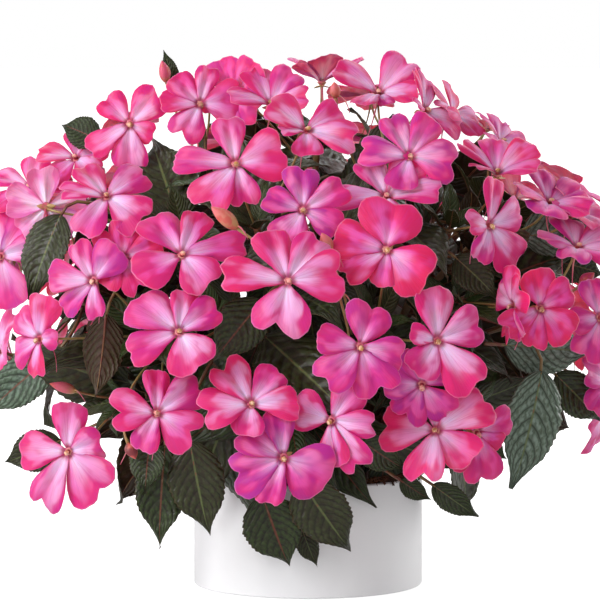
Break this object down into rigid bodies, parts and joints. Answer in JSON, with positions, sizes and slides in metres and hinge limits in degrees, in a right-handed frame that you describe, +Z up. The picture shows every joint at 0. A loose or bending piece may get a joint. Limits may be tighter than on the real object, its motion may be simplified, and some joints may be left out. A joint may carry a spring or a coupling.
{
  "type": "potted new guinea impatiens",
  "caption": "Rounded flowering pot plant with five-petalled pink blooms, dark toothed leaves and a plain low cylindrical pot.",
  "frame": {"origin": "centre of the pot's underside", "axes": "+Z up, the side that the picture shows towards -Y, +X to its right"},
  "size_m": [0.4353, 0.4265, 0.3468],
  "materials": {
    "pot": "satin white",
    "soil": "matte, moist peat and bark",
    "foliage": "soft sheen, living leaf",
    "petals": "matte, living petal"
  },
  "bodies": {
    "root": {"pot": "pot", "soil": "soil", "leafy_shoot_01": "foliage", "leafy_shoot_02": "foliage", "leafy_shoot_03": "foliage", "leafy_shoot_04": "foliage", "leafy_shoot_05": "foliage", "leafy_shoot_06": "foliage", "leafy_shoot_07": "foliage", "leafy_shoot_08": "foliage", "bloom_01": "petals", "bloom_02": "petals", "bloom_03": "petals", "bloom_04": "petals", "bloom_05": "petals", "bloom_06": "petals", "bloom_07": "petals", "bloom_08": "petals", "bloom_09": "petals", "bloom_10": "petals", "bloom_11": "petals", "bloom_12": "petals", "bloom_13": "petals", "bloom_14": "petals", "bloom_15": "petals", "bloom_16": "petals", "bloom_17": "petals", "bloom_18": "petals", "bloom_19": "petals", "bloom_20": "petals", "bloom_21": "petals", "bloom_22": "petals", "bloom_23": "petals", "bloom_24": "petals", "bloom_25": "petals", "bloom_26": "petals", "bloom_27": "petals", "bloom_28": "petals", "bloom_29": "petals", "bloom_30": "petals", "bloom_31": "petals", "bloom_32": "petals", "bloom_33": "petals", "bloom_34": "petals", "bloom_35": "petals", "bloom_36": "petals", "bloom_37": "petals", "bloom_38": "petals", "bloom_spray_01": "petals", "bloom_spray_02": "petals", "bloom_spray_03": "petals", "bloom_spray_04": "petals", "bloom_spray_05": "petals", "bloom_spray_06": "petals", "bloom_spray_07": "petals", "bloom_spray_08": "petals", "bloom_spray_09": "petals", "bloom_spray_10": "petals", "bloom_spray_11": "petals", "bloom_spray_12": "petals"}
  },
  "joints": []
}
